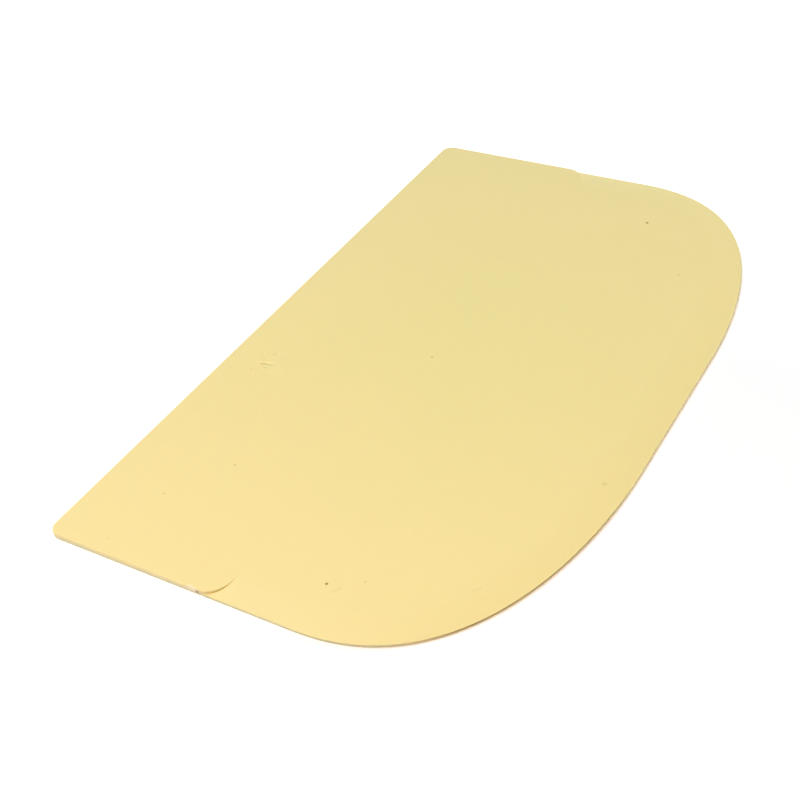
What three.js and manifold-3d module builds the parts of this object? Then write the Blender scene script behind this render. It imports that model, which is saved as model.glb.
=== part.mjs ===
// Plastic bowl scraper: a one-piece moulded card with a straight back edge, a full-thickness
// grip along that edge, and a curved front whose rim tapers to a thin flexible lip.
// Millimetres, +Z up. Origin: the middle of the underside. The scraping edge faces -Y.
import * as THREE from "three";
import { mergeVertices } from "three/addons/utils/BufferGeometryUtils.js";
import Module from "manifold-3d";

// Driving dimensions of the outline
const LENGTH = 150; // along the straight back edge
const DEPTH = 89; // from the back edge to the scraping edge
const CORNER_ALONG = 57.2; // how far a front corner reaches along the scraping edge
const CORNER_ACROSS = 36; // how far a front corner reaches up its side
const CORNER_FRONT_HANDLE = 23; // length of the corner curve's tangent on the scraping edge
const CORNER_SIDE_HANDLE = 29.5; // length of its tangent on the side
const BACK_CORNER_RADIUS = 2.4;

// Driving dimensions of the section
const GRIP_THICKNESS = 1.15;
const GRIP_DEPTH = 38; // from the back edge to where the tapered rim starts
const STEP_REACH_IN = 5.5; // how far the rounded step at each end of the rim runs in from the side
const STEP_REACH_BACK = 4.2; // how far it runs back along the side
const LIP_THICKNESS = 0.55; // at the scraping edge
const TAPER_WIDTH = 6.5; // from the scraping edge in to full thickness
const TAPER_BLEND = 2.5; // inner part of the taper that rounds over into the flat face
const GRIP_EDGE_RADIUS = 0.15; // rounding of the grip's upper edge
const EDGE_BREAK = 0.08; // small bevel along the other edges

// Fineness of the curves
const CORNER_STEPS = 36;
const ROUND_STEPS = 8;
const BLEND_STEPS = 4;
const EDGE_STEPS = 3;

const backY = DEPTH / 2;
const frontY = -DEPTH / 2;
const halfLength = LENGTH / 2;
const gripFrontY = backY - GRIP_DEPTH;
// The blade runs on behind the grip's rounded front corners, so that it fills them.
const bladeTailY = gripFrontY + 2 * STEP_REACH_BACK;

const wasm = await Module();
wasm.setup();

function toSolid(geometry) {
  const bare = geometry.clone();
  for (const name of Object.keys(bare.attributes)) {
    if (name !== "position") bare.deleteAttribute(name);
  }
  const merged = mergeVertices(bare);
  return new wasm.Manifold(
    new wasm.Mesh({
      numProp: 3,
      vertProperties: new Float32Array(merged.attributes.position.array),
      triVerts: new Uint32Array(merged.index.array),
    }),
  );
}

function toGeometry(solid) {
  const { vertProperties, triVerts } = solid.getMesh();
  return new THREE.BufferGeometry()
    .setAttribute("position", new THREE.BufferAttribute(vertProperties, 3))
    .setIndex(new THREE.BufferAttribute(triVerts, 1));
}

// Closed solid through a stack of rings, lowest first. Every ring has the same number of
// points, counter-clockwise seen from above: { points: Vector2[], z }.
function loft(rings) {
  const count = rings[0].points.length;
  const positions = rings.flatMap(({ points, z }) => points.flatMap((p) => [p.x, p.y, z]));
  const index = [];
  for (let level = 0; level + 1 < rings.length; level++) {
    for (let i = 0; i < count; i++) {
      const a = level * count + i;
      const b = level * count + ((i + 1) % count);
      index.push(a, b, b + count, a, b + count, a + count);
    }
  }
  const top = (rings.length - 1) * count;
  for (const [a, b, c] of THREE.ShapeUtils.triangulateShape(rings[0].points, [])) {
    index.push(c, b, a);
  }
  for (const [a, b, c] of THREE.ShapeUtils.triangulateShape(rings.at(-1).points, [])) {
    index.push(top + a, top + b, top + c);
  }
  return new THREE.BufferGeometry()
    .setAttribute("position", new THREE.Float32BufferAttribute(positions, 3))
    .setIndex(index);
}

// Blade outline as stations { at, outward }, counter-clockwise from the tail on the left side
// round the scraping edge to the tail on the right side.
function bladeStations() {
  const corner = new THREE.CubicBezierCurve(
    new THREE.Vector2(halfLength - CORNER_ALONG, frontY),
    new THREE.Vector2(halfLength - CORNER_ALONG + CORNER_FRONT_HANDLE, frontY),
    new THREE.Vector2(halfLength, frontY + CORNER_ACROSS - CORNER_SIDE_HANDLE),
    new THREE.Vector2(halfLength, frontY + CORNER_ACROSS),
  );
  const right = [];
  for (let i = 0; i <= CORNER_STEPS; i++) {
    const tangent = corner.getTangent(i / CORNER_STEPS);
    right.push({
      at: corner.getPoint(i / CORNER_STEPS),
      outward: new THREE.Vector2(tangent.y, -tangent.x),
    });
  }
  right.push({ at: new THREE.Vector2(halfLength, bladeTailY), outward: new THREE.Vector2(1, 0) });
  const mirrored = right.map(({ at, outward }) => ({
    at: new THREE.Vector2(-at.x, at.y),
    outward: new THREE.Vector2(-outward.x, outward.y),
  }));
  return [...mirrored.reverse(), ...right];
}

// Height of the tapered rim at a distance in from the scraping edge: an even slope that
// rounds over into the flat face along the blend.
function taperHeight(inset) {
  const slope = (GRIP_THICKNESS - LIP_THICKNESS) / (TAPER_WIDTH - TAPER_BLEND / 2);
  const left = TAPER_WIDTH - inset;
  if (left < TAPER_BLEND) {
    return GRIP_THICKNESS - (slope * left ** 2) / (2 * TAPER_BLEND);
  }
  return GRIP_THICKNESS - slope * (left - TAPER_BLEND / 2);
}

function makeBlade() {
  const stations = bladeStations();
  const ring = (inset, z) => ({
    points: stations.map(({ at, outward }) => at.clone().addScaledVector(outward, -inset)),
    z,
  });
  const rings = [
    ring(EDGE_BREAK, 0),
    ring(0, EDGE_BREAK),
    ring(0, LIP_THICKNESS - EDGE_BREAK),
    ring(EDGE_BREAK, taperHeight(EDGE_BREAK)),
  ];
  for (let i = 0; i <= BLEND_STEPS; i++) {
    const inset = TAPER_WIDTH - TAPER_BLEND * (1 - i / BLEND_STEPS);
    rings.push(ring(inset, taperHeight(inset)));
  }
  return loft(rings);
}

// Outline of the grip, drawn in by an inset, counter-clockwise: a rectangle with round back
// corners and elliptic front ones.
function gripOutline(inset) {
  const right = halfLength - inset;
  const back = backY - inset;
  const front = gripFrontY + inset;
  const backRadius = BACK_CORNER_RADIUS - inset;
  const reachIn = STEP_REACH_IN - inset;
  const reachBack = STEP_REACH_BACK - inset;
  const shape = new THREE.Shape();
  shape.absellipse(right - reachIn, front + reachBack, reachIn, reachBack, -Math.PI / 2, 0);
  shape.absarc(right - backRadius, back - backRadius, backRadius, 0, Math.PI / 2);
  shape.absarc(-right + backRadius, back - backRadius, backRadius, Math.PI / 2, Math.PI);
  shape.absellipse(-right + reachIn, front + reachBack, reachIn, reachBack, Math.PI, 1.5 * Math.PI);
  return shape.getPoints(ROUND_STEPS);
}

function makeGrip() {
  const rings = [
    { points: gripOutline(EDGE_BREAK), z: 0 },
    { points: gripOutline(0), z: EDGE_BREAK },
  ];
  for (let i = 0; i <= EDGE_STEPS; i++) {
    const turn = ((i / EDGE_STEPS) * Math.PI) / 2;
    rings.push({
      points: gripOutline(GRIP_EDGE_RADIUS * (1 - Math.cos(turn))),
      z: GRIP_THICKNESS - GRIP_EDGE_RADIUS * (1 - Math.sin(turn)),
    });
  }
  return loft(rings);
}

const ivoryPlastic = new THREE.MeshStandardMaterial({ color: 0xf9e3a0, roughness: 0.55, metalness: 0 });

// One moulding: the tapered blade and the grip are joined, which leaves the rounded step
// where the taper stops at each side.
const scraperCard = new THREE.Mesh(
  toGeometry(toSolid(makeBlade()).add(toSolid(makeGrip()))),
  ivoryPlastic,
);
scraperCard.name = "scraper_card";

const scraper = new THREE.Group();
scraper.add(scraperCard);

export default scraper;
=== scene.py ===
"""One-piece plastic bowl scraper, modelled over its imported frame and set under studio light."""

from math import cos, radians, sin
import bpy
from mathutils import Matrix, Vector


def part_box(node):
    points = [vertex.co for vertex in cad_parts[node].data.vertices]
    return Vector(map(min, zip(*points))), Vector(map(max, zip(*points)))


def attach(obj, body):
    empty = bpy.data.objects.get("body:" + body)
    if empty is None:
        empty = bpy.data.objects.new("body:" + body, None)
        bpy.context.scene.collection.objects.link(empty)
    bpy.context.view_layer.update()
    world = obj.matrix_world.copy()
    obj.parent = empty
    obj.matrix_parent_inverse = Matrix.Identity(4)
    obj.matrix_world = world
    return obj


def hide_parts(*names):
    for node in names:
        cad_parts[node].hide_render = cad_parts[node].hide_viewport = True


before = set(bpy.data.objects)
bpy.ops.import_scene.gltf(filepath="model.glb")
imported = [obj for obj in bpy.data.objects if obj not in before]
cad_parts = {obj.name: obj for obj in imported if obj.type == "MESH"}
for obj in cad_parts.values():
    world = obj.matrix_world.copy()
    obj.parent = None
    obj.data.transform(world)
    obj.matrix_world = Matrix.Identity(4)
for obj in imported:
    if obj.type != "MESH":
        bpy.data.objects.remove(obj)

from types import SimpleNamespace

import bmesh
import bpy
from bpy.props import FloatProperty, FloatVectorProperty, PointerProperty
from mathutils import Matrix, Vector

bl_info = {
    "name": "Bowl Scraper",
    "version": (1, 0, 0),
    "blender": (4, 5, 0),
    "location": "View3D > Sidebar > Scraper",
    "description": "Models a one-piece plastic bowl scraper and a plain studio around it",
    "category": "Add Mesh",
}

MM = 0.001
QUARTER_ARC = 0.5523  # handle length of a quarter circle, as a share of its radius
LEVEL_TOLERANCE = 1e-4  # millimetres by which a vertex may miss the height it is picked at
WELD_DISTANCE = 0.002  # millimetres within which vertices count as one and are merged
BLADE_STEPS = 40  # steps to a stretch of the blade's outline
GRIP_STEPS = 16  # steps to a stretch of the grip's outline
BLEND_STEPS = 6  # rings across the part of the taper that rounds over
FLAT_RING = 1.5  # millimetres of level face inside the taper, which keep its shading off the large face
MARK_PLACE = (-19.1, 10.15)  # millimetres to the gate mark: along X, and in from the back edge
MARK_WALL = 0.2  # half the width of the gate mark's sloping wall, in millimetres
DENT_BALL = 4  # radius of the ball that presses a dent, as a multiple of the dent's depth

DAYLIGHT_HEIGHT = radians(55)
DAYLIGHT_SIDE = Vector((-0.05, 1, 0))  # where the daylight comes from, seen from above
LOOK_AT = Vector((-17.022, 5.338, -1)) * MM  # what the camera faces, from the upper face's middle
LIP_SHADE_PLACE = Vector((-0.047, -0.038, 0))  # middle of the stretch of the lip whose upright face is painted in brown shade
SHADOW_PLACE = Vector((-0.03, -0.05, 0))  # middle of the patch of floor that takes the shadow
FLOOR_DROP = 0.00002  # metres from the underside down to the floor, so that their faces don't coincide

# Dents round the gate mark, where the runner was trimmed off. All in millimetres:
# offset from the middle of the mark, half width, half length, depth
GATE_DENTS = (
    (0.9, 1.4, 0.7, 2.1, 0.42),
    (-0.3, 0.65, 0.5, 1.1, 0.26),
    (3.1, 3.9, 0.45, 0.5, 0.15),
    (3.8, 1.0, 0.5, 1.0, 0.16),
    (-0.7, 3.6, 0.5, 0.8, 0.2),
    (-2.3, 2.7, 0.5, 0.7, 0.17),
    (-1.2, -3.1, 0.6, 1.0, 0.2),
)
# Spots of another tint on the card: x, y, z and radius in millimetres, how strongly each shows, and
# the name of its tint in the finish
SPOTS = (
    (58.5, -15.2, 1.15, 0.3, 0.95, "speck"),
    (-64.7, -8.2, 1.15, 0.26, 0.95, "speck"),
    (-3.7, 5.5, 1.15, 0.25, 0.35, "speck"),
    (-58.4, 30.9, 1.15, 0.25, 0.3, "smudge_and_groove_shade"),
    (-71.9, 33, 1.15, 0.3, 0.15, "smudge_and_groove_shade"),
    (-24, -40, 0.95, 0.5, 0.18, "smudge_and_groove_shade"),
    (41.5, -29, 1.15, 0.3, 0.2, "smudge_and_groove_shade"),
    (-46.6, 23.4, 1.15, 0.3, 0.28, "smudge_and_groove_shade"),
    (-61.6, -13.8, 1.15, 0.3, 0.18, "smudge_and_groove_shade"),
    (-64.6, -10.8, 1.15, 0.35, 0.1, "smudge_and_groove_shade"),
    (-65.2, -10.3, 1.15, 0.35, 0.1, "smudge_and_groove_shade"),
    (-65.8, -10, 1.15, 0.35, 0.08, "smudge_and_groove_shade"),
    (-56, -30.8, 1.15, 0.4, 0.07, "smudge_and_groove_shade"),
    (-55.5, -31.2, 1.15, 0.4, 0.07, "smudge_and_groove_shade"),
    (-55, -31.6, 1.15, 0.4, 0.07, "smudge_and_groove_shade"),
    # Painted shade along the groove of the gate mark
    (-18.8, 36.6, 0.95, 0.4, 0.34, "smudge_and_groove_shade"),
    (-18.6, 36, 0.95, 0.4, 0.34, "smudge_and_groove_shade"),
    (-18.4, 35.3, 0.95, 0.4, 0.34, "smudge_and_groove_shade"),
    (-18.4, 34.6, 0.95, 0.4, 0.26, "smudge_and_groove_shade"),
    (-19.6, 35, 0.95, 0.4, 0.15, "smudge_and_groove_shade"),
    # Painted highlight along the rim of the gate mark's groove
    (-18.3, 37.2, 0.95, 0.4, 0.6, "rim_highlight"),
    (-18, 36.5, 0.95, 0.4, 0.5, "rim_highlight"),
    (-17.8, 35.7, 0.95, 0.4, 0.5, "rim_highlight"),
    (-19.1, 35.5, 0.95, 0.35, 0.5, "rim_highlight"),
    # Pale grey patches on the near end's face, by the step
    (-75, 12.6, 0.8, 0.6, 0.45, "pale_patch"),
    (-75, 11.6, 0.85, 0.5, 0.55, "pale_patch"),
    # Painted shade in the notch where the step meets the near end, then dirt in the nick of the lip
    (-75, 11, 0.6, 0.4, 0.7, "grime_and_notch_shade"),
    (-47.3, -41.1, 0.5, 0.5, 0.7, "grime_and_notch_shade"),
)
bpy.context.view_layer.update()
CARD_LOW, CARD_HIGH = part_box("scraper_card")


def length(name, description, millimetres):
    """A length property with its default in millimetres."""
    return FloatProperty(
        name=name, description=description, default=millimetres * MM, min=0.0, unit="LENGTH"
    )


def colour(name, description, value):
    """A colour property with a linear default."""
    return FloatVectorProperty(
        name=name, description=description, default=value, min=0.0, max=1.0, size=3, subtype="COLOR"
    )


class CardSizes(bpy.types.PropertyGroup):
    """Sizes of the moulded card."""

    card_length: FloatProperty(
        name="Length", description="Along the straight back edge",
        default=CARD_HIGH[0] - CARD_LOW[0], unit="LENGTH",
    )
    card_depth: FloatProperty(
        name="Depth", description="From the back edge to the scraping edge",
        default=CARD_HIGH[1] - CARD_LOW[1], unit="LENGTH",
    )
    grip_thickness: FloatProperty(
        name="Grip Thickness", description="Full thickness of the card",
        default=CARD_HIGH[2] - CARD_LOW[2], unit="LENGTH",
    )
    corner_along: length("Corner Along", "Reach of a front corner along the scraping edge", 57.2)
    corner_across: length("Corner Across", "Reach of a front corner up its side", 36.0)
    front_handle: length("Front Handle", "Tangent of the corner curve on the scraping edge", 23.0)
    side_handle: length("Side Handle", "Tangent of the corner curve on the side", 29.5)
    back_radius: length("Back Corner Radius", "Plan radius of the two back corners", 2.4)
    grip_depth: length("Grip Depth", "From the back edge to where the tapered rim starts", 38.0)
    step_in: length("Step Reach In", "How far the rounded step runs in from the side", 5.5)
    step_back: length("Step Reach Back", "How far the rounded step runs back along the side", 4.2)
    lip_thickness: length("Lip Thickness", "Thickness at the scraping edge", 0.55)
    taper_width: length("Taper Width", "From the scraping edge in to full thickness", 6.5)
    taper_blend: length("Taper Blend", "Inner part of the taper that rounds over", 2.5)
    grip_edge: length("Grip Edge Radius", "Rounding of the upper edge of the grip", 0.2)
    edge_round: length("Edge Round", "Rounding along the other edges", 0.06)
    mark_radius: length("Gate Mark Radius", "Radius of the shallow round recess by the back edge", 4.1)
    mark_depth: length("Gate Mark Depth", "Depth of that recess", 0.12)


class PlasticFinish(bpy.types.PropertyGroup):
    """Colour and surface of the plastic, and the shade and highlight painted on it."""

    body: colour("Body Colour", "Cream yellow of the plastic", (0.830, 0.702, 0.306))
    middle: colour("Middle Colour", "Slightly greener tone towards the middle", (0.791, 0.700, 0.292))
    # All upright faces and rounded edges are mixed towards this paler, bluer tone.
    edge: colour("Edge Colour", "Paler plastic of the rubbed upright edges", (0.84, 0.76, 0.48))
    # Painted shade: greys and darkens the near end's face towards the floor.
    foot: colour("Foot Colour", "Greyer plastic along the foot of the near end", (0.53, 0.56, 0.40))
    speck: colour("Speck Colour", "Dark grains caught in the plastic", (0.20, 0.12, 0.005))
    # Also painted shade: the same dark paints the groove of the gate mark.
    smudge_and_groove_shade: colour("Smudge Colour", "Faint smudges and the groove of the gate mark", (0.33, 0.27, 0.06))
    # Partly painted shade: the same dark paints the notch where the step meets the near end.
    grime_and_notch_shade: colour("Grime Colour", "Grime in the notch and the nick of the edge", (0.22, 0.21, 0.14))
    # Painted highlight: this pale tone paints the bright rim of the gate mark's groove.
    rim_highlight: colour("Trim Colour", "Paler plastic where the runner was trimmed off", (0.92, 0.80, 0.37))
    # Pale grey patches on the near end's face, by the step.
    pale_patch: colour("Scuff Colour", "Pale scrapes on the end", (0.86, 0.84, 0.78))
    # Painted shade: darkens the upper part of the scraping edge's face on one stretch.
    lip_shade: colour("Stain Colour", "Brown stain on the worn stretch of the lip", (0.33, 0.22, 0.07))
    roughness: FloatProperty(
        name="Roughness", description="Satin of the faces", default=0.5, min=0.0, max=1.0
    )


class StudioStage(bpy.types.PropertyGroup):
    """Camera and light."""

    azimuth: FloatProperty(
        name="Azimuth", description="Camera direction about Z", default=radians(-55.695), subtype="ANGLE"
    )
    elevation: FloatProperty(
        name="Elevation", description="Camera height angle", default=radians(38.572), subtype="ANGLE"
    )
    roll: FloatProperty(name="Roll", description="Camera roll", default=radians(-7.036), subtype="ANGLE")
    distance: length("Distance", "From the camera to its target", 252.54)
    lens: FloatProperty(name="Lens", description="Focal length in millimetres", default=58.85)
    daylight: colour("Daylight Colour", "Colour of the cool light from behind", (0.55, 0.80, 1.0))
    daylight_strength: FloatProperty(name="Daylight", description="Strength of that light", default=2.18)
    lamp: colour("Lamp Colour", "Colour of the warm softbox overhead", (1.0, 0.645, 0.39))
    lamp_power: FloatProperty(
        name="Lamp", description="Power of the softbox", default=1.34, unit="POWER"
    )
    bounce_power: FloatProperty(
        name="Low Fill", description="Power of the light low at the front right",
        default=15.0, unit="POWER",
    )
    end_power: FloatProperty(
        name="End Fill", description="Power of the light low at the near end",
        default=2.2, unit="POWER",
    )
    fill: FloatProperty(name="Fill", description="Strength of the even light all round", default=0.03)


def in_millimetres(group):
    """The sizes of a group in millimetres: meshes are shaped at that scale, where small roundings
    keep clear of the modelling tools' own tolerances, and are brought to metres at the end."""
    return SimpleNamespace(**{name: getattr(group, name) / MM for name in type(group).__annotations__})


def start_fresh():
    """Leave edit mode and deselect everything, so an operator meets only what is added next."""
    if bpy.context.object and bpy.context.object.mode != "OBJECT":
        bpy.ops.object.mode_set(mode="OBJECT")
    bpy.ops.object.select_all(action="DESELECT")


def pick(kind, test):
    """Select the faces or edges of the mesh in edit mode that pass a test, and nothing else."""
    mesh = bpy.context.object.data
    bpy.ops.mesh.select_mode(type="FACE" if kind == "faces" else "EDGE")
    bpy.ops.mesh.select_all(action="DESELECT")
    bm = bmesh.from_edit_mesh(mesh)
    chosen = [item for item in getattr(bm, kind) if test(item)]
    if not chosen:
        raise RuntimeError(f"no {kind} to select on {bpy.context.object.name}")
    for item in chosen:
        item.select_set(True)
    bm.select_flush_mode()
    bmesh.update_edit_mesh(mesh)


def flat_at(height):
    """Test for the flat face, or a rim edge, that lies at a height."""
    return lambda item: all(abs(v.co.z - height) < LEVEL_TOLERANCE for v in item.verts)


def rim_at(height):
    """Test for an edge at a height between an upright wall and another face."""
    level = flat_at(height)
    return lambda edge: level(edge) and any(abs(f.normal.z) < 0.5 for f in edge.link_faces)


def use_modifier(target, kind, **settings):
    """Add a modifier, set it up and apply it."""
    start_fresh()
    bpy.context.view_layer.objects.active = target
    target.select_set(True)
    bpy.ops.object.modifier_add(type=kind)
    modifier = target.modifiers[-1]
    for name, value in settings.items():
        setattr(modifier, name, value)
    bpy.ops.object.modifier_apply(modifier=modifier.name)


def combine(target, other, operation):
    """Join or cut a mesh with another one, which is used up."""
    use_modifier(target, "BOOLEAN", operation=operation, object=other, solver="MANIFOLD")
    bpy.data.objects.remove(other, do_unlink=True)


def blade_outline(sizes):
    """Bezier outline of the blade: scraping edge, both sides and a rounded tail inside the grip."""
    half = sizes.card_length / 2
    front = -sizes.card_depth / 2
    grip_front = sizes.card_depth / 2 - sizes.grip_depth
    # The tail lies inside the grip, where it doesn't show, so its rounding is free.
    tail_start = grip_front + 1.5 * sizes.step_back
    tail = grip_front + 0.9 * sizes.grip_depth
    reach = tail - tail_start
    flat = half - sizes.corner_along
    shoulder = front + sizes.corner_across
    right = [
        ((0, front), (-flat / 3, 0), (flat / 3, 0)),
        ((flat, front), (-flat / 3, 0), (sizes.front_handle, 0)),
        ((half, shoulder), (0, -sizes.side_handle), (0, (tail_start - shoulder) / 3)),
        ((half, tail_start), (0, (shoulder - tail_start) / 3), (0, 0.7 * reach)),
        ((0, tail), (0.6 * half, 0), (-0.6 * half, 0)),
    ]
    left = [((-x, y), (-ox, oy), (-ix, iy)) for (x, y), (ix, iy), (ox, oy) in right[3:0:-1]]
    return right + left


def draw_outline(points, steps):
    """Draw a closed Bezier curve through points with handles, and turn it into a filled face."""
    start_fresh()
    bpy.ops.curve.primitive_bezier_circle_add(radius=50, enter_editmode=True)
    bpy.ops.curve.select_all(action="SELECT")
    bpy.ops.curve.subdivide(number_cuts=1)
    bpy.ops.object.mode_set(mode="OBJECT")
    outline = bpy.context.object
    outline.data.resolution_u = steps
    spline = outline.data.splines[0]
    for knot, ((x, y), before, after) in zip(spline.bezier_points, points, strict=True):
        knot.handle_left_type = knot.handle_right_type = "FREE"
        knot.co = (x, y, 0)
        knot.handle_left = (x + before[0], y + before[1], 0)
        knot.handle_right = (x + after[0], y + after[1], 0)
    bpy.ops.object.convert(target="MESH")
    bpy.ops.object.mode_set(mode="EDIT")
    bpy.ops.mesh.select_all(action="SELECT")
    bpy.ops.mesh.remove_doubles(threshold=WELD_DISTANCE)
    bpy.ops.mesh.edge_face_add()
    return bpy.context.object


def taper_height(sizes, inset):
    """Height of the rim at a distance in from the scraping edge."""
    slope = (sizes.grip_thickness - sizes.lip_thickness) / (sizes.taper_width - sizes.taper_blend / 2)
    left = sizes.taper_width - inset
    if left < sizes.taper_blend:
        return sizes.grip_thickness - slope * left**2 / (2 * sizes.taper_blend)
    return sizes.grip_thickness - slope * (left - sizes.taper_blend / 2)


def model_blade(sizes):
    """Blade: a thin sheet whose upper face rises through insets from the lip to the flat face."""
    blade = draw_outline(blade_outline(sizes), BLADE_STEPS)
    bpy.ops.mesh.extrude_region_move(TRANSFORM_OT_translate={"value": (0, 0, sizes.lip_thickness)})
    bpy.ops.mesh.select_all(action="SELECT")
    bpy.ops.mesh.normals_make_consistent(inside=False)
    pick("faces", flat_at(sizes.lip_thickness))
    slope_end = sizes.taper_width - sizes.taper_blend
    insets = [slope_end / 2, slope_end]
    insets += [slope_end + sizes.taper_blend * step / BLEND_STEPS for step in range(1, BLEND_STEPS + 1)]
    inset, height = 0.0, sizes.lip_thickness
    for reach in insets:
        rise = taper_height(sizes, reach)
        bpy.ops.mesh.inset(thickness=reach - inset, depth=rise - height, use_even_offset=True)
        inset, height = reach, rise
    bpy.ops.mesh.inset(thickness=FLAT_RING, depth=0)
    for level in (0, sizes.lip_thickness):
        pick("edges", rim_at(level))
        bpy.ops.mesh.bevel(offset=sizes.edge_round, segments=3, affect="EDGES")
    bpy.ops.object.mode_set(mode="OBJECT")
    return blade


def grip_outline(sizes):
    """Bezier outline of the grip: elliptic front corners and round back ones, two knots to a corner."""
    half, back = sizes.card_length / 2, sizes.card_depth / 2
    front = back - sizes.grip_depth
    round_back = sizes.back_radius
    corners = [
        (Vector((half, front)), sizes.step_in, sizes.step_back),
        (Vector((half, back)), round_back, round_back),
        (Vector((-half, back)), round_back, round_back),
        (Vector((-half, front)), sizes.step_back, sizes.step_in),
    ]
    knots = []
    along = Vector((1, 0))
    for corner, before, after in corners:
        onward = Vector((-along.y, along.x))
        knots.append((corner - along * before, -along, along * before * QUARTER_ARC))
        knots.append((corner + onward * after, -onward * after * QUARTER_ARC, onward))
        along = onward
    return knots


def model_grip(sizes):
    """Grip: a full-thickness strip along the back edge with rounded corners and edges."""
    grip = draw_outline(grip_outline(sizes), GRIP_STEPS)
    bpy.ops.mesh.extrude_region_move(TRANSFORM_OT_translate={"value": (0, 0, sizes.grip_thickness)})
    bpy.ops.mesh.select_all(action="SELECT")
    bpy.ops.mesh.normals_make_consistent(inside=False)
    for level, radius in ((0, sizes.edge_round), (sizes.grip_thickness, sizes.grip_edge)):
        pick("edges", rim_at(level))
        bpy.ops.mesh.bevel(offset=radius, segments=5, affect="EDGES")
    bpy.ops.object.mode_set(mode="OBJECT")
    return grip


def gate_mark_cutter(sizes, place):
    """Shallow dish with sloping sides that presses the round gate mark."""
    start_fresh()
    bpy.ops.mesh.primitive_cone_add(
        vertices=96,
        radius1=sizes.mark_radius - MARK_WALL,
        radius2=sizes.mark_radius + MARK_WALL,
        depth=2 * sizes.mark_depth,
        location=(place.x, place.y, sizes.grip_thickness),
    )
    bpy.ops.object.transform_apply(location=True, rotation=True, scale=True)
    return bpy.context.object


def dent_cutter(sizes, place, half_width, half_length, depth):
    """Ball, squeezed so that its cap presses an oval dent into the grip face."""
    start_fresh()
    radius = DENT_BALL * depth
    rise = radius - depth
    spread = (radius**2 - rise**2) ** 0.5
    bpy.ops.mesh.primitive_uv_sphere_add(segments=64, ring_count=48, radius=radius)
    squeeze = (half_width / spread, half_length / spread, 1)
    bpy.ops.transform.resize(value=squeeze, center_override=(0, 0, 0))
    bpy.ops.transform.translate(value=(place.x, place.y, sizes.grip_thickness + rise))
    bpy.ops.object.transform_apply(location=True, rotation=True, scale=True)
    return bpy.context.object


class Nodes:
    """Short way to add and join shader nodes."""

    def __init__(self, tree):
        self.tree = tree
        tree.nodes.clear()

    def add(self, kind, inputs=None, **settings):
        node = self.tree.nodes.new(kind)
        for name, value in settings.items():
            setattr(node, name, value)
        for name, value in (inputs or {}).items():
            if isinstance(value, bpy.types.NodeSocket):
                self.tree.links.new(value, node.inputs[name])
            else:
                node.inputs[name].default_value = value
        return node

    def maths(self, operation, first, second=0.0, third=0.0):
        inputs = {0: first, 1: second, 2: third}
        return self.add("ShaderNodeMath", inputs, operation=operation).outputs[0]

    def distance(self, place, point):
        inputs = {0: place, 1: point}
        return self.add("ShaderNodeVectorMath", inputs, operation="DISTANCE").outputs["Value"]

    def ramp(self, value, low, high):
        """0 at low and before it, 1 at high and past it, eased between. Low may be the larger."""
        return self.add(
            "ShaderNodeMapRange",
            {"Value": value, "From Min": low, "From Max": high},
            interpolation_type="SMOOTHSTEP",
        ).outputs["Result"]

    def mix(self, factor, first, second):
        return self.add(
            "ShaderNodeMix", {0: factor, 6: first, 7: second}, data_type="RGBA"
        ).outputs[2]


def body_tone(n, place, patches, finish):
    """Body colour that drifts, in soft patches, to a slightly greener tone in the middle of the card."""
    spread = n.maths("ADD", n.distance(place, Vector((0, 0, 0))), n.maths("MULTIPLY", patches, 0.04))
    return n.mix(n.ramp(spread, 0.085, 0.01), (*finish.body, 1), (*finish.middle, 1))


def edge_tones(n, coords, body, finish):
    """Paler upright faces, painted shade that greys the near end towards the floor, and painted brown
    shade on one stretch of the lip.
    """
    turned = n.add("ShaderNodeSeparateXYZ", {0: coords["Normal"]}).outputs
    height = n.add("ShaderNodeSeparateXYZ", {0: coords["Object"]}).outputs["Z"]
    # Upright faces and rounded edges are mixed halfway towards the paler tone.
    upright = n.ramp(n.maths("ABSOLUTE", turned["Z"]), 0.8, 0.4)
    pale_sided = n.mix(n.maths("MULTIPLY", upright, 0.5), body, (*finish.edge, 1))

    # Painted shade: the near end's upright face greys and darkens towards the floor.
    near_end = n.ramp(turned["X"], -0.7, -0.95)
    foot = n.maths("MULTIPLY", near_end, n.ramp(height, 0.7 * MM, 0.15 * MM))
    foot_shaded = n.mix(n.maths("MULTIPLY", foot, 0.7), pale_sided, (*finish.foot, 1))

    # Painted shade: the upper part of the upright faces on one stretch of the lip is darkened brown.
    upper = n.maths("MULTIPLY", upright, n.ramp(height, 0.15 * MM, 0.3 * MM))
    lip_shade_reach = n.ramp(n.distance(coords["Object"], LIP_SHADE_PLACE), 0.028, 0.016)
    lip_shaded = n.maths("MULTIPLY", n.maths("MULTIPLY", upper, lip_shade_reach), 0.75)
    return n.mix(lip_shaded, foot_shaded, (*finish.lip_shade, 1))


def add_spots(n, place, paint, finish):
    """Specks, smudges, pale patches, and painted shade and highlight at the gate mark and the notch,
    each a soft-edged ball of its tint.
    """
    for x, y, z, radius, strength, tint in SPOTS:
        away = n.distance(place, Vector((x, y, z)) * MM)
        spot = n.maths("MULTIPLY", n.ramp(away, 1.4 * radius * MM, 0.4 * radius * MM), strength)
        paint = n.mix(spot, paint, (*getattr(finish, tint), 1))
    return paint


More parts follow.
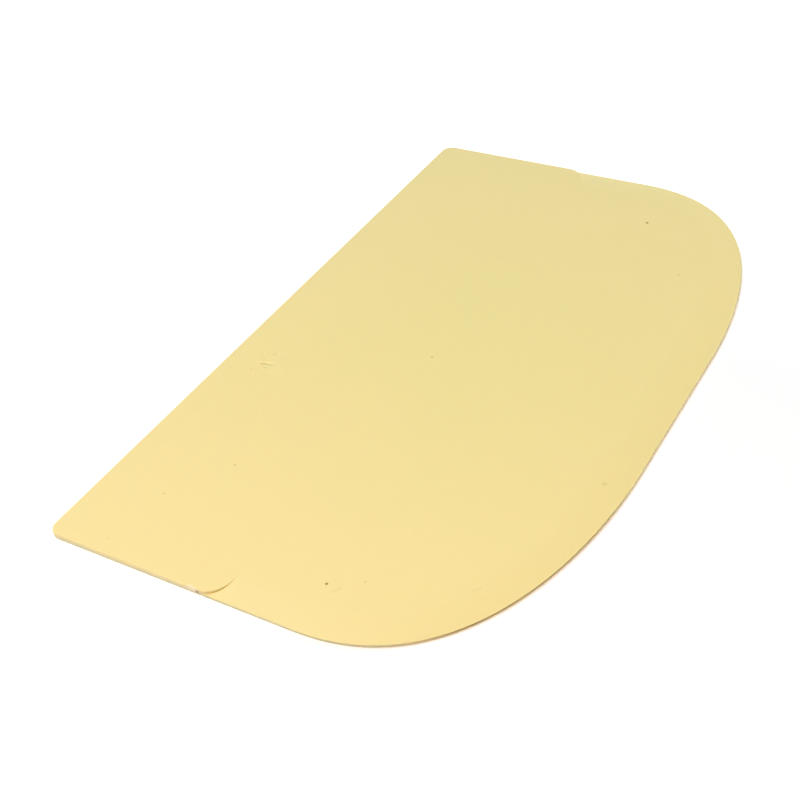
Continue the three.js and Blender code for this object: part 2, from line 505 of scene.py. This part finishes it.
def satin_plastic(finish):
    """Cream plastic with a fine moulded grain, faint drift of tone, paler upright faces, painted shade
    on the lip and the near end, and spots, some of them painted shade and highlight.
    """
    material = bpy.data.materials.new("satin_cream_plastic")
    material.use_nodes = True
    n = Nodes(material.node_tree)
    coords = n.add("ShaderNodeTexCoord").outputs
    place = coords["Object"]
    patches = n.add("ShaderNodeTexNoise", {"Vector": place, "Scale": 38.0, "Detail": 3.0}).outputs["Fac"]
    body = body_tone(n, place, patches, finish)
    painted = add_spots(n, place, edge_tones(n, coords, body, finish), finish)
    grain = n.add("ShaderNodeTexNoise", {"Vector": place, "Scale": 2600.0, "Detail": 2.0}).outputs["Fac"]
    bump = n.add("ShaderNodeBump", {"Strength": 0.12, "Distance": 0.00004, "Height": grain})
    rough = n.add(
        "ShaderNodeMapRange",
        {"Value": patches, "To Min": finish.roughness - 0.05, "To Max": finish.roughness + 0.06},
    ).outputs["Result"]
    shader = n.add(
        "ShaderNodeBsdfPrincipled",
        {
            "Base Color": painted,
            "Roughness": rough,
            "IOR": 1.49,
            "Subsurface Weight": 0.2,
            "Subsurface Radius": (1.0, 0.7, 0.3),
            "Subsurface Scale": 0.5 * MM,
            "Normal": bump.outputs["Normal"],
        },
    )
    n.add("ShaderNodeOutputMaterial", {"Surface": shader.outputs["BSDF"]})
    return material


class SCRAPER_OT_card(bpy.types.Operator):
    """Model the moulded card: blade, grip and gate mark in one piece"""

    bl_idname = "scraper.card"
    bl_label = "Moulded Card"

    def execute(self, context):
        sizes = in_millimetres(context.scene.scraper_sizes)
        card = model_blade(sizes)
        combine(card, model_grip(sizes), "UNION")
        along, inward = MARK_PLACE
        mark = Vector((along, sizes.card_depth / 2 - inward, 0))
        combine(card, gate_mark_cutter(sizes, mark), "DIFFERENCE")
        for x, y, half_width, half_length, depth in GATE_DENTS:
            cutter = dent_cutter(sizes, mark + Vector((x, y, 0)), half_width, half_length, depth)
            combine(card, cutter, "DIFFERENCE")
        start_fresh()
        context.view_layer.objects.active = card
        card.select_set(True)
        bpy.ops.object.mode_set(mode="EDIT")
        bpy.ops.mesh.select_all(action="SELECT")
        bpy.ops.mesh.remove_doubles(threshold=WELD_DISTANCE)
        bpy.ops.mesh.normals_make_consistent(inside=False)
        bpy.ops.object.mode_set(mode="OBJECT")
        bpy.ops.transform.resize(value=(MM, MM, MM), center_override=(0, 0, 0))
        bpy.ops.object.transform_apply(location=True, rotation=True, scale=True)
        bpy.ops.object.shade_smooth_by_angle(angle=radians(40))
        use_modifier(card, "WEIGHTED_NORMAL", keep_sharp=True, weight=80)
        card.name = card.data.name = "moulded_card"
        card.data.materials.clear()
        card.data.materials.append(satin_plastic(context.scene.scraper_finish))
        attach(card, "root")
        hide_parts("scraper_card")
        return {"FINISHED"}


def seen_directly(n):
    """1 for rays that show the stage to the eye: straight, mirrored or through something clear."""
    path = n.add("ShaderNodeLightPath").outputs
    mirrored = n.maths("MAXIMUM", path["Is Glossy Ray"], path["Is Transmission Ray"])
    return n.maths("MAXIMUM", path["Is Camera Ray"], mirrored)


def white_sweep():
    """Floor finish: pale paint that takes the shadow by the card, and runs out to plain white."""
    material = bpy.data.materials.new("white_sweep")
    material.use_nodes = True
    n = Nodes(material.node_tree)
    paint = n.add("ShaderNodeBsdfDiffuse", {"Color": (0.95, 0.95, 0.95, 1)})
    place = n.add("ShaderNodeTexCoord").outputs["Object"]
    away = n.distance(place, SHADOW_PLACE)
    lift = n.add(
        "ShaderNodeMapRange",
        {"Value": away, "From Min": 0.05, "From Max": 0.25, "To Min": 0.06, "To Max": 1.0},
    ).outputs["Result"]
    strength = n.maths("MULTIPLY", seen_directly(n), lift)
    glow = n.add("ShaderNodeEmission", {"Color": (1, 1, 1, 1), "Strength": strength})
    both = n.add("ShaderNodeAddShader", {0: paint.outputs[0], 1: glow.outputs[0]})
    n.add("ShaderNodeOutputMaterial", {"Surface": both.outputs[0]})
    return material


def light_room(stage):
    """Even white light all round, seen as plain white."""
    world = bpy.data.worlds.new("white_room")
    bpy.context.scene.world = world
    world.use_nodes = True
    n = Nodes(world.node_tree)
    even = n.add("ShaderNodeBackground", {"Color": (1, 1, 1, 1), "Strength": stage.fill})
    plain = n.add("ShaderNodeBackground", {"Color": (1, 1, 1, 1), "Strength": 1.0})
    both = n.add("ShaderNodeMixShader", {0: seen_directly(n), 1: even.outputs[0], 2: plain.outputs[0]})
    n.add("ShaderNodeOutputWorld", {"Surface": both.outputs[0]})


class SCRAPER_OT_stage(bpy.types.Operator):
    """Set up the floor, the soft light and the camera"""

    bl_idname = "scraper.stage"
    bl_label = "Studio Stage"

    def execute(self, context):
        stage = context.scene.scraper_stage
        start_fresh()
        bpy.ops.mesh.primitive_plane_add(size=6, location=(0, 0, -FLOOR_DROP))
        floor = context.object
        floor.name = "floor"
        floor.data.materials.append(white_sweep())

        light_room(stage)
        self.add_daylight(stage)
        self.add_softbox(
            "warm_softbox",
            place=(-0.24, 0.02, 0.40), across=0.2, tint=stage.lamp, power=stage.lamp_power,
        )
        low = self.add_softbox(
            "low_fill",
            place=(1.2, -1.0, 0.44), across=0.6, tint=(1, 1, 1), power=stage.bounce_power,
        )
        end = self.add_softbox(
            "end_fill",
            place=(-1.2, 0.5, 0.42), across=0.6, tint=(0.7, 0.9, 1.0), power=stage.end_power,
        )
        # Low lights would mirror in the flat face as glare.
        low.visible_glossy = end.visible_glossy = False
        self.add_camera(context, stage)
        context.scene.view_settings.view_transform = "Standard"
        return {"FINISHED"}

    @staticmethod
    def add_daylight(stage):
        """Broad light from behind, which leaves the scraping edge's face and foot in soft shade."""
        toward = DAYLIGHT_SIDE * cos(DAYLIGHT_HEIGHT) + Vector((0, 0, sin(DAYLIGHT_HEIGHT)))
        bpy.ops.object.light_add(type="SUN", rotation=toward.to_track_quat("Z", "Y").to_euler())
        sun = bpy.context.object
        sun.name = "back_daylight"
        sun.data.color = stage.daylight
        sun.data.energy = stage.daylight_strength
        sun.data.angle = radians(35)

    @staticmethod
    def add_softbox(name, place, across, tint, power):
        """Round softbox that faces the card."""
        facing = Vector(place).to_track_quat("Z", "Y").to_euler()
        bpy.ops.object.light_add(type="AREA", location=place, rotation=facing)
        lamp = bpy.context.object
        lamp.name = name
        lamp.data.shape = "DISK"
        lamp.data.size = across
        lamp.data.color = tint
        lamp.data.energy = power
        return lamp

    @staticmethod
    def add_camera(context, stage):
        """Camera at the photo's place and angle."""
        back = Vector((
            sin(stage.azimuth) * cos(stage.elevation),
            -cos(stage.azimuth) * cos(stage.elevation),
            sin(stage.elevation),
        ))
        target = LOOK_AT + Vector((0, 0, CARD_HIGH[2]))
        turn = back.to_track_quat("Z", "Y").to_matrix() @ Matrix.Rotation(stage.roll, 3, "Z")
        bpy.ops.object.camera_add(location=target + back * stage.distance, rotation=turn.to_euler())
        camera = context.object
        camera.name = "photo_camera"
        camera.data.sensor_width = 36
        camera.data.lens = stage.lens
        camera.data.clip_start = 0.01
        context.scene.camera = camera


class SCRAPER_PT_sidebar(bpy.types.Panel):
    """Sizes, finish and stage of the scraper"""

    bl_idname = "SCRAPER_PT_sidebar"
    bl_label = "Bowl Scraper"
    bl_space_type = "VIEW_3D"
    bl_region_type = "UI"
    bl_category = "Scraper"

    def draw(self, context):
        scene = context.scene
        for operator, group in (
            (SCRAPER_OT_card, scene.scraper_sizes),
            (None, scene.scraper_finish),
            (SCRAPER_OT_stage, scene.scraper_stage),
        ):
            box = self.layout.box()
            if operator:
                box.operator(operator.bl_idname)
            for name in type(group).__annotations__:
                box.prop(group, name)


CLASSES = (CardSizes, PlasticFinish, StudioStage, SCRAPER_OT_card, SCRAPER_OT_stage, SCRAPER_PT_sidebar)


def register():
    for item in CLASSES:
        bpy.utils.register_class(item)
    bpy.types.Scene.scraper_sizes = PointerProperty(type=CardSizes)
    bpy.types.Scene.scraper_finish = PointerProperty(type=PlasticFinish)
    bpy.types.Scene.scraper_stage = PointerProperty(type=StudioStage)


def unregister():
    del bpy.types.Scene.scraper_stage
    del bpy.types.Scene.scraper_finish
    del bpy.types.Scene.scraper_sizes
    for item in reversed(CLASSES):
        bpy.utils.unregister_class(item)


def main():
    register()
    bpy.ops.scraper.card()
    bpy.ops.scraper.stage()


if __name__ == "__main__":
    main()
